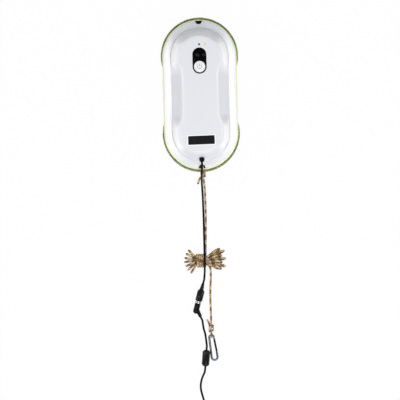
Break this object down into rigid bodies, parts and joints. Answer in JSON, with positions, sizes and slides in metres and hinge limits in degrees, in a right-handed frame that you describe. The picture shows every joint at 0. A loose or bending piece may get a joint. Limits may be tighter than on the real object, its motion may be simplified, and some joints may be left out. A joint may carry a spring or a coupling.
{
  "type": "window cleaning robot",
  "caption": "Window cleaning robot with two round wiping pads under a long white waisted cover, with its lead, safety rope and hook.",
  "frame": {"origin": "centre of the robot's outline, in the plane on which the two wiping pads lie", "axes": "+X to the right, +Y up the glass towards the window and power button, +Z away from the glass through the cover"},
  "size_m": [0.149, 0.976, 0.0816],
  "materials": {
    "white_shell": "satin",
    "pale_strip": "satin",
    "gray_base": "matte",
    "screw_steel": "satin",
    "pad_cloth": "matte",
    "disc_plastic": "matte",
    "gear_plastic": "matte",
    "bearing_steel": "satin",
    "pinion_brass": "satin",
    "motor_steel": "satin",
    "duct_plastic": "matte",
    "impeller_plastic": "matte",
    "cell_wrap": "satin",
    "board_green": "satin",
    "switch_black": "matte",
    "window_black": "gloss",
    "lens_clear": "gloss",
    "lens_orange": "gloss",
    "insert_black": "satin",
    "pin_steel": "satin",
    "lead_rubber": "satin",
    "plug_black": "satin",
    "ring_chrome": "polished",
    "rope_braid": "matte",
    "hook_steel": "polished",
    "gate_steel": "satin"
  },
  "bodies": {
    "robot": {"cover": "white_shell", "bumper_strip": "pale_strip", "base_housing": "gray_base", "cover_screws": "screw_steel", "upper_bearing": "bearing_steel", "lower_bearing": "bearing_steel", "upper_drive_motor": "motor_steel", "lower_drive_motor": "motor_steel", "suction_duct": "duct_plastic", "fan_volute": "duct_plastic", "fan_motor": "motor_steel", "battery_holder": "duct_plastic", "battery_cells": "cell_wrap", "main_board": "board_green", "tact_switch": "switch_black", "dark_window": "window_black", "left_status_lens": "lens_clear", "middle_status_lens": "window_black", "right_status_lens": "lens_orange", "upper_eye_insert": "insert_black", "lower_eye_insert": "insert_black", "upper_eye_pin": "pin_steel", "lower_eye_pin": "pin_steel", "cable_gland": "lead_rubber", "robot_lead": "lead_rubber", "lead_socket": "plug_black", "elbow_plug": "plug_black", "ferrite_bead": "plug_black", "adapter_lead": "lead_rubber", "ferrite_lead": "lead_rubber", "lead_coil": "lead_rubber", "adapter_lead_end": "lead_rubber", "power_adapter": "plug_black", "adapter_boot": "lead_rubber", "anchor_loop": "rope_braid", "anchor_knot": "rope_braid", "rope_upper_run": "rope_braid", "rope_hank": "rope_braid", "rope_wraps": "rope_braid", "rope_lower_run": "rope_braid", "hook_loop": "rope_braid", "end_knot": "rope_braid", "hook_body": "hook_steel", "hook_rivet": "hook_steel"},
    "upper_pad_disc": {"upper_pad": "pad_cloth", "upper_disc": "disc_plastic", "upper_disc_gear": "gear_plastic"},
    "lower_pad_disc": {"lower_pad": "pad_cloth", "lower_disc": "disc_plastic", "lower_disc_gear": "gear_plastic"},
    "upper_pinion_shaft": {"upper_pinion": "pinion_brass"},
    "lower_pinion_shaft": {"lower_pinion": "pinion_brass"},
    "fan_wheel": {"impeller": "impeller_plastic"},
    "button": {"power_button": "white_shell"},
    "plug_ring": {"lock_ring": "ring_chrome"},
    "gate": {"hook_gate": "gate_steel"}
  },
  "joints": [
    {"name": "upper_disc_spin", "type": "hinge", "parent": "robot", "child": "upper_pad_disc", "pos_m": [0, 0.0755, 0.02], "axis": [0, 0, 1], "continuous": true},
    {"name": "lower_disc_spin", "type": "hinge", "parent": "robot", "child": "lower_pad_disc", "pos_m": [0, -0.0755, 0.02], "axis": [0, 0, 1], "continuous": true},
    {"name": "upper_pinion_spin", "type": "hinge", "parent": "robot", "child": "upper_pinion_shaft", "pos_m": [-0.03765, 0.0755, 0.028], "axis": [0, 0, 1], "continuous": true},
    {"name": "lower_pinion_spin", "type": "hinge", "parent": "robot", "child": "lower_pinion_shaft", "pos_m": [0.03765, -0.0755, 0.028], "axis": [0, 0, 1], "continuous": true},
    {"name": "fan_spin", "type": "hinge", "parent": "robot", "child": "fan_wheel", "pos_m": [0, 0, 0.053], "axis": [0, 0, 1], "continuous": true},
    {"name": "button_push", "type": "slide", "parent": "robot", "child": "button", "axis": [0, 0, -1], "range_m": [0, 0.001], "stiffness_N_per_m": 300, "springref_m": -0.0005},
    {"name": "ring_turn", "type": "hinge", "parent": "robot", "child": "plug_ring", "pos_m": [-0.01396, -0.40482, 0.007], "axis": [-0.2756, -0.9613, 0], "continuous": true},
    {"name": "gate_swing", "type": "hinge", "parent": "robot", "child": "gate", "pos_m": [0.01525, -0.47637, 0.00607], "axis": [-0.0144, 0.1093, -0.9939], "range_deg": [0, 14], "stiffness_Nm_per_rad": 0.05, "springref_deg": -8.59}
  ],
  "couplings": [
    {"joint": "upper_pinion_spin", "follows": "upper_disc_spin", "ratio": -4},
    {"joint": "lower_pinion_spin", "follows": "lower_disc_spin", "ratio": -4}
  ]
}
